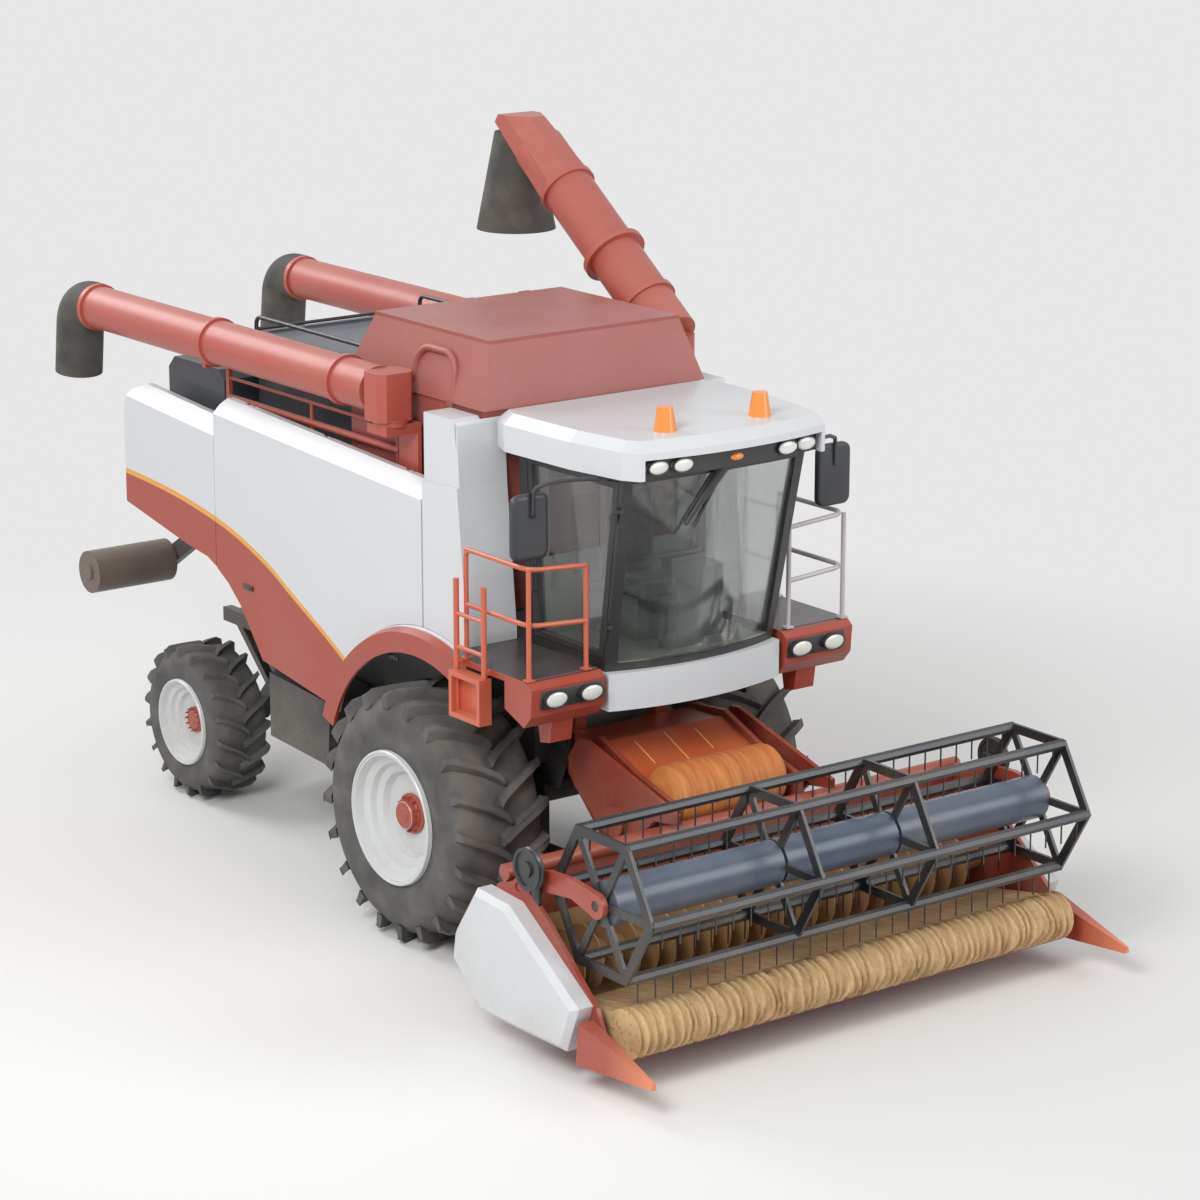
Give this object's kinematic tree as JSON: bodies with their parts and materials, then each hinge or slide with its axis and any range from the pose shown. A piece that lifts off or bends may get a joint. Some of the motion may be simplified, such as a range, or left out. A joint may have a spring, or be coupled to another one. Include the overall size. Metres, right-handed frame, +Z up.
{
  "type": "combine harvester",
  "caption": "Self-propelled combine harvester with cutting table, tined reel, hollow cab, grain tank, unloading augers, hinged side doors and steered rear wheels.",
  "frame": {"origin": "on the ground under the middle of the machine's length and width", "axes": "+X forwards, +Y to the machine's left, +Z up"},
  "size_m": [9.4136, 4.2, 5.3698],
  "materials": {
    "white_paint": "semi-gloss white paint",
    "cab_black": "black cab frame paint",
    "tank_red": "brick-red sheet",
    "rail_orange": "orange-red paint",
    "roll_orange": "orange-tan rubberised cloth",
    "tube_blue": "blue-grey paint",
    "side_paint": "white paint over a red lower part",
    "red_paint": "brick-red paint",
    "rear_silver": "blue-grey paint",
    "dark_metal": "black chassis paint",
    "auger_tube": "brick-red paint",
    "rubber_spout": "black rubber",
    "tan_apron": "tan rubberised cloth",
    "reel_black": "black paint",
    "rim_white": "white paint",
    "tyre": "black rubber",
    "glass": "tinted glass",
    "lamp_clear": "clear lamp lens",
    "lamp_orange": "orange lens",
    "seat_cloth": "dark cloth",
    "cab_plastic": "dark plastic",
    "steel": "ground steel",
    "drum_grey": "grey paint"
  },
  "bodies": {
    "body": {"threshing_body": "rear_silver", "chassis_frame": "dark_metal", "front_axle": "dark_metal", "rear_axle": "dark_metal", "engine": "dark_metal", "engine_deck": "rear_silver", "deck_rails": "dark_metal", "body_panels": "white_paint", "wheel_arches": "side_paint", "grain_tank": "tank_red", "side_tanks": "dark_metal", "unloader_towers": "red_paint", "cab_frame": "cab_black", "cab_glass": "glass", "cab_roof": "white_paint", "cab_fittings": "cab_plastic", "seat": "seat_cloth", "lamp_band": "cab_black", "platforms": "red_paint", "front_apron": "white_paint", "railings": "rail_orange", "side_rails": "red_paint", "mirrors": "dark_metal", "lamps": "lamp_orange", "work_lamps": "lamp_clear"},
    "header": {"feeder_house": "red_paint", "feeder_roll": "roll_orange", "header_table": "red_paint", "header_shields": "white_paint", "crop_dividers": "red_paint", "intake_apron": "tan_apron"},
    "header_auger": {"header_auger": "dark_metal"},
    "reel_arms": {"reel_arms": "red_paint"},
    "reel": {"reel": "reel_black", "reel_tube": "tube_blue"},
    "lift_barrels": {"lift_barrels": "drum_grey"},
    "lift_rods": {"lift_rods": "steel"},
    "front_wheel_left": {"tyre_front_left": "tyre", "rim_front_left": "rim_white"},
    "front_wheel_right": {"tyre_front_right": "tyre", "rim_front_right": "rim_white"},
    "knuckle_left": {"knuckle_left": "dark_metal"},
    "knuckle_right": {"knuckle_right": "dark_metal"},
    "rear_wheel_left": {"tyre_rear_left": "tyre", "rim_rear_left": "rim_white"},
    "rear_wheel_right": {"tyre_rear_right": "tyre", "rim_rear_right": "rim_white"},
    "side_door_left": {"side_door_left": "side_paint"},
    "side_door_right": {"side_door_right": "side_paint"},
    "cab_door": {"cab_door": "cab_black", "door_glass": "glass"},
    "tank_lid": {"tank_lid": "tank_red"},
    "unloader_left": {"unloader_left": "auger_tube", "spout_left": "rubber_spout"},
    "unloader_right": {"unloader_right": "auger_tube", "spout_right": "rubber_spout"},
    "unloader_raised": {"unloader_raised": "auger_tube", "spout_raised": "rubber_spout"},
    "spreader_drum_left": {"spreader_drum_left": "drum_grey"},
    "spreader_drum_right": {"spreader_drum_right": "drum_grey"}
  },
  "joints": [
    {"name": "front_wheel_left", "type": "hinge", "parent": "body", "child": "front_wheel_left", "pos_m": [1.0568, 1.15, 0.91], "axis": [0, 1, 0], "continuous": true},
    {"name": "steering_left", "type": "hinge", "parent": "body", "child": "knuckle_left", "pos_m": [-2.6832, 0.43, 0.609], "axis": [0, 0, 1], "range_deg": [-25, 25]},
    {"name": "rear_wheel_left", "type": "hinge", "parent": "knuckle_left", "child": "rear_wheel_left", "pos_m": [-2.6832, 0.765, 0.609], "axis": [0, 1, 0], "continuous": true},
    {"name": "front_wheel_right", "type": "hinge", "parent": "body", "child": "front_wheel_right", "pos_m": [1.0568, -1.15, 0.91], "axis": [0, 1, 0], "continuous": true},
    {"name": "steering_right", "type": "hinge", "parent": "body", "child": "knuckle_right", "pos_m": [-2.6832, -0.43, 0.609], "axis": [0, 0, 1], "range_deg": [-25, 25]},
    {"name": "rear_wheel_right", "type": "hinge", "parent": "knuckle_right", "child": "rear_wheel_right", "pos_m": [-2.6832, -0.765, 0.609], "axis": [0, 1, 0], "continuous": true},
    {"name": "side_door_left", "type": "hinge", "parent": "body", "child": "side_door_left", "pos_m": [-0.3932, 1.035, 3.2813], "axis": [0.9987, 0, -0.0508], "range_deg": [0, 70]},
    {"name": "side_door_right", "type": "hinge", "parent": "body", "child": "side_door_right", "pos_m": [-0.3932, -1.035, 3.2813], "axis": [-0.9987, 0, 0.0508], "range_deg": [0, 70]},
    {"name": "cab_door", "type": "hinge", "parent": "body", "child": "cab_door", "pos_m": [2.4658, -0.737, 2.215], "axis": [0.1813, -0.0359, 0.9828], "range_deg": [0, 28]},
    {"name": "tank_lid", "type": "hinge", "parent": "body", "child": "tank_lid", "pos_m": [-0.1392, 0, 4.213], "axis": [0, -1, 0], "range_deg": [0, 95]},
    {"name": "unloader_left", "type": "hinge", "parent": "body", "child": "unloader_left", "pos_m": [0.2568, 1.14, 3.69], "axis": [0, 0, 1], "range_deg": [-90, 0]},
    {"name": "unloader_right", "type": "hinge", "parent": "body", "child": "unloader_right", "pos_m": [0.5568, -1.14, 3.79], "axis": [0, 0, 1], "range_deg": [0, 90]},
    {"name": "unloader_raised", "type": "hinge", "parent": "body", "child": "unloader_raised", "pos_m": [0.7968, 1.13, 3.96], "axis": [0, 0, 1], "range_deg": [-90, 0]},
    {"name": "header_lift", "type": "hinge", "parent": "body", "child": "header", "pos_m": [1.8568, 0, 1.5], "axis": [0, -1, 0], "range_deg": [-2.5, 16]},
    {"name": "lift_barrels", "type": "hinge", "parent": "body", "child": "lift_barrels", "pos_m": [1.3368, 0, 0.6], "axis": [0, -1, 0], "range_deg": [-1.5, 9]},
    {"name": "lift_rods", "type": "slide", "parent": "lift_barrels", "child": "lift_rods", "axis": [0.9992, 0, 0.0392], "range_m": [-0.045, 0.25]},
    {"name": "header_auger", "type": "hinge", "parent": "header", "child": "header_auger", "pos_m": [3.2768, 0, 0.55], "axis": [0, 1, 0], "continuous": true},
    {"name": "reel_lift", "type": "hinge", "parent": "header", "child": "reel_arms", "pos_m": [3.1768, 0, 1.09], "axis": [0, -1, 0], "range_deg": [0, 18]},
    {"name": "reel_spin", "type": "hinge", "parent": "reel_arms", "child": "reel", "pos_m": [3.9468, 0, 1.17], "axis": [0, 1, 0], "continuous": true},
    {"name": "spreader_drum_left", "type": "hinge", "parent": "body", "child": "spreader_drum_left", "pos_m": [-3.8432, 0.42, 1.6], "axis": [0, 1, 0], "continuous": true},
    {"name": "spreader_drum_right", "type": "hinge", "parent": "body", "child": "spreader_drum_right", "pos_m": [-3.8432, -0.42, 1.6], "axis": [0, 1, 0], "continuous": true}
  ],
  "couplings": [
    {"joint": "steering_right", "follows": "steering_left", "ratio": 1},
    {"joint": "lift_barrels", "follows": "header_lift", "ratio": 0.463},
    {"joint": "lift_rods", "follows": "header_lift", "m_per_rad": 0.845}
  ]
}
